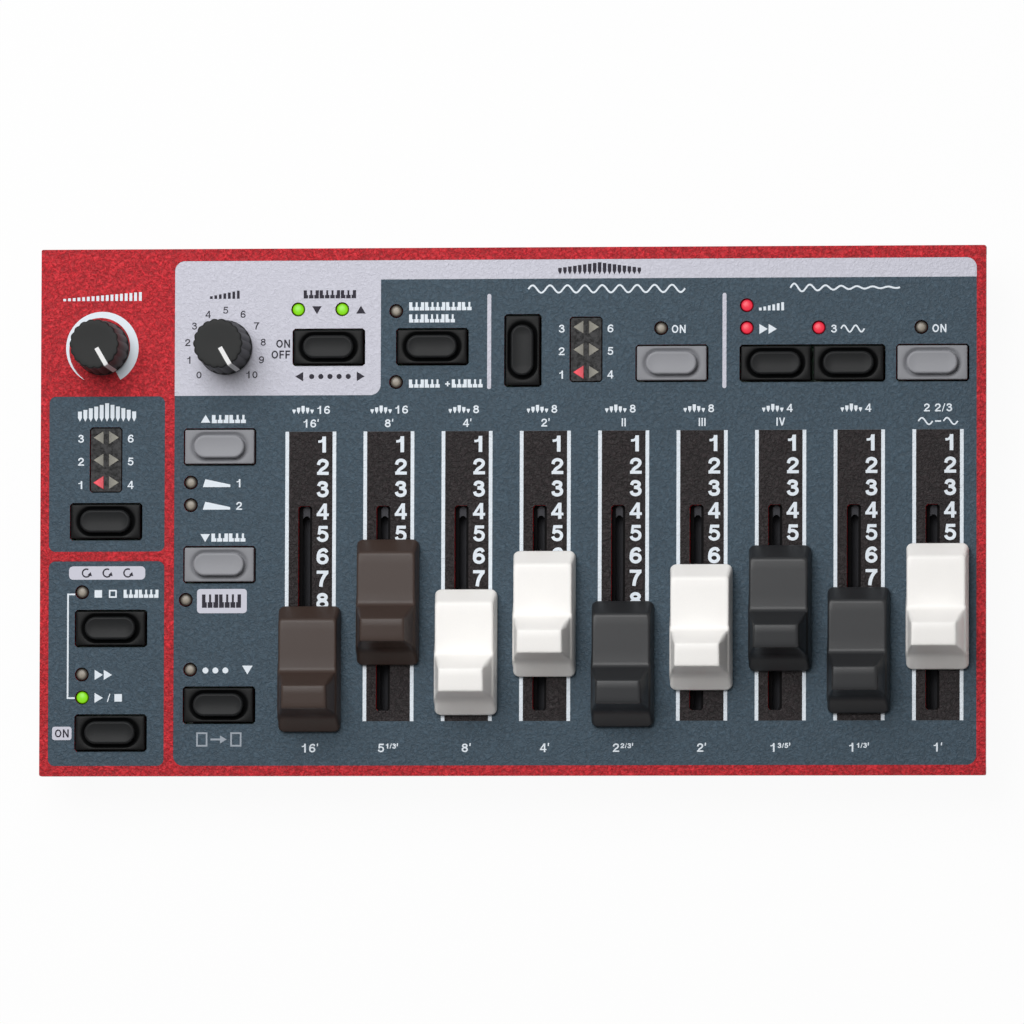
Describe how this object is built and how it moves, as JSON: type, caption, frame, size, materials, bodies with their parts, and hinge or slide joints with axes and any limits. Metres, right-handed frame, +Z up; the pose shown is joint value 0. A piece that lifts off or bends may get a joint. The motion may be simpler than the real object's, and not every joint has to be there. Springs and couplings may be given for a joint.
{
  "type": "stage keyboard organ control panel",
  "caption": "Organ section of a stage keyboard's control panel: red and slate plate with sliding drawbar caps, push buttons, fluted level knobs and lamps, over a closed tray.",
  "frame": {"origin": "middle of the tray's flat underside, at the bottom centre of the whole part's box", "axes": "+X along the panel to the player's right, +Y towards the rear of the instrument, +Z up out of the panel"},
  "size_m": [0.2268, 0.1262, 0.0332],
  "materials": {
    "red_paint": "textured",
    "tray_paint": "satin",
    "circuit_board": "gloss",
    "felt": "matte",
    "steel": "satin",
    "screw_steel": "blackened",
    "cream_plastic": "matte",
    "smoked_window": "satin",
    "brown_plastic": "satin",
    "white_plastic": "satin",
    "black_plastic": "satin",
    "black_button_plastic": "satin",
    "grey_button_plastic": "satin",
    "knob_plastic": "soft touch"
  },
  "bodies": {
    "chassis": {"front_panel": "red_paint", "bottom_cover": "tray_paint", "circuit_board": "circuit_board", "dust_sheet": "felt", "fader_housing_1": "steel", "fader_housing_2": "steel", "fader_housing_3": "steel", "fader_housing_4": "steel", "fader_housing_5": "steel", "fader_housing_6": "steel", "fader_housing_7": "steel", "fader_housing_8": "steel", "fader_housing_9": "steel", "master_level_pot_housing": "steel", "organ_level_pot_housing": "steel", "model_window": "smoked_window", "vibrato_window": "smoked_window", "cover_screw_1": "screw_steel", "cover_screw_2": "screw_steel", "cover_screw_3": "screw_steel", "cover_screw_4": "screw_steel", "cover_screw_5": "screw_steel", "cover_screw_6": "screw_steel", "cable_connector": "cream_plastic"},
    "fader_1": {"fader_lever_1": "steel", "fader_cap_1": "brown_plastic"},
    "fader_2": {"fader_lever_2": "steel", "fader_cap_2": "brown_plastic"},
    "fader_3": {"fader_lever_3": "steel", "fader_cap_3": "white_plastic"},
    "fader_4": {"fader_lever_4": "steel", "fader_cap_4": "white_plastic"},
    "fader_5": {"fader_lever_5": "steel", "fader_cap_5": "black_plastic"},
    "fader_6": {"fader_lever_6": "steel", "fader_cap_6": "white_plastic"},
    "fader_7": {"fader_lever_7": "steel", "fader_cap_7": "black_plastic"},
    "fader_8": {"fader_lever_8": "steel", "fader_cap_8": "black_plastic"},
    "fader_9": {"fader_lever_9": "steel", "fader_cap_9": "white_plastic"},
    "model_button_body": {"model_button": "black_button_plastic"},
    "rotary_stop_button_body": {"rotary_stop_button": "black_button_plastic"},
    "rotary_on_button_body": {"rotary_on_button": "black_button_plastic"},
    "octave_up_button_body": {"octave_up_button": "grey_button_plastic"},
    "octave_down_button_body": {"octave_down_button": "grey_button_plastic"},
    "preset_button_body": {"preset_button": "black_button_plastic"},
    "zone_button_body": {"zone_button": "black_button_plastic"},
    "manual_edit_button_body": {"manual_edit_button": "black_button_plastic"},
    "vibrato_select_button_body": {"vibrato_select_button": "black_button_plastic"},
    "vibrato_on_button_body": {"vibrato_on_button": "grey_button_plastic"},
    "percussion_fast_button_body": {"percussion_fast_button": "black_button_plastic"},
    "percussion_third_button_body": {"percussion_third_button": "black_button_plastic"},
    "percussion_on_button_body": {"percussion_on_button": "grey_button_plastic"},
    "master_level_body": {"master_level_shaft": "steel", "master_level_knob": "knob_plastic"},
    "organ_level_body": {"organ_level_shaft": "steel", "organ_level_knob": "knob_plastic"}
  },
  "joints": [
    {"name": "fader_slide_1", "type": "slide", "parent": "chassis", "child": "fader_1", "axis": [0, -1, 0], "range_m": [-0.04186, 0.00094]},
    {"name": "fader_slide_2", "type": "slide", "parent": "chassis", "child": "fader_2", "axis": [0, -1, 0], "range_m": [-0.02594, 0.01686]},
    {"name": "fader_slide_3", "type": "slide", "parent": "chassis", "child": "fader_3", "axis": [0, -1, 0], "range_m": [-0.03792, 0.00488]},
    {"name": "fader_slide_4", "type": "slide", "parent": "chassis", "child": "fader_4", "axis": [0, -1, 0], "range_m": [-0.0288, 0.014]},
    {"name": "fader_slide_5", "type": "slide", "parent": "chassis", "child": "fader_5", "axis": [0, -1, 0], "range_m": [-0.04079, 0.00201]},
    {"name": "fader_slide_6", "type": "slide", "parent": "chassis", "child": "fader_6", "axis": [0, -1, 0], "range_m": [-0.03206, 0.01074]},
    {"name": "fader_slide_7", "type": "slide", "parent": "chassis", "child": "fader_7", "axis": [0, -1, 0], "range_m": [-0.02761, 0.01519]},
    {"name": "fader_slide_8", "type": "slide", "parent": "chassis", "child": "fader_8", "axis": [0, -1, 0], "range_m": [-0.03762, 0.00518]},
    {"name": "fader_slide_9", "type": "slide", "parent": "chassis", "child": "fader_9", "axis": [0, -1, 0], "range_m": [-0.02722, 0.01558]},
    {"name": "model_button_press", "type": "slide", "parent": "chassis", "child": "model_button_body", "axis": [0, 0, -1], "range_m": [0, 0.0005], "stiffness_N_per_m": 600, "springref_m": -0.0005},
    {"name": "rotary_stop_button_press", "type": "slide", "parent": "chassis", "child": "rotary_stop_button_body", "axis": [0, 0, -1], "range_m": [0, 0.0005], "stiffness_N_per_m": 600, "springref_m": -0.0005},
    {"name": "rotary_on_button_press", "type": "slide", "parent": "chassis", "child": "rotary_on_button_body", "axis": [0, 0, -1], "range_m": [0, 0.0005], "stiffness_N_per_m": 600, "springref_m": -0.0005},
    {"name": "octave_up_button_press", "type": "slide", "parent": "chassis", "child": "octave_up_button_body", "axis": [0, 0, -1], "range_m": [0, 0.0005], "stiffness_N_per_m": 600, "springref_m": -0.0005},
    {"name": "octave_down_button_press", "type": "slide", "parent": "chassis", "child": "octave_down_button_body", "axis": [0, 0, -1], "range_m": [0, 0.0005], "stiffness_N_per_m": 600, "springref_m": -0.0005},
    {"name": "preset_button_press", "type": "slide", "parent": "chassis", "child": "preset_button_body", "axis": [0, 0, -1], "range_m": [0, 0.0005], "stiffness_N_per_m": 600, "springref_m": -0.0005},
    {"name": "zone_button_press", "type": "slide", "parent": "chassis", "child": "zone_button_body", "axis": [0, 0, -1], "range_m": [0, 0.0005], "stiffness_N_per_m": 600, "springref_m": -0.0005},
    {"name": "manual_edit_button_press", "type": "slide", "parent": "chassis", "child": "manual_edit_button_body", "axis": [0, 0, -1], "range_m": [0, 0.0005], "stiffness_N_per_m": 600, "springref_m": -0.0005},
    {"name": "vibrato_select_button_press", "type": "slide", "parent": "chassis", "child": "vibrato_select_button_body", "axis": [0, 0, -1], "range_m": [0, 0.0005], "stiffness_N_per_m": 600, "springref_m": -0.0005},
    {"name": "vibrato_on_button_press", "type": "slide", "parent": "chassis", "child": "vibrato_on_button_body", "axis": [0, 0, -1], "range_m": [0, 0.0005], "stiffness_N_per_m": 600, "springref_m": -0.0005},
    {"name": "percussion_fast_button_press", "type": "slide", "parent": "chassis", "child": "percussion_fast_button_body", "axis": [0, 0, -1], "range_m": [0, 0.0005], "stiffness_N_per_m": 600, "springref_m": -0.0005},
    {"name": "percussion_third_button_press", "type": "slide", "parent": "chassis", "child": "percussion_third_button_body", "axis": [0, 0, -1], "range_m": [0, 0.0005], "stiffness_N_per_m": 600, "springref_m": -0.0005},
    {"name": "percussion_on_button_press", "type": "slide", "parent": "chassis", "child": "percussion_on_button_body", "axis": [0, 0, -1], "range_m": [0, 0.0005], "stiffness_N_per_m": 600, "springref_m": -0.0005},
    {"name": "master_level_turn", "type": "hinge", "parent": "chassis", "child": "master_level_body", "pos_m": [-0.09859, 0.0394, 0.0182], "axis": [0, 0, 1], "range_deg": [0, 300]},
    {"name": "organ_level_turn", "type": "hinge", "parent": "chassis", "child": "organ_level_body", "pos_m": [-0.0689, 0.0394, 0.0182], "axis": [0, 0, 1], "range_deg": [0, 300]}
  ]
}
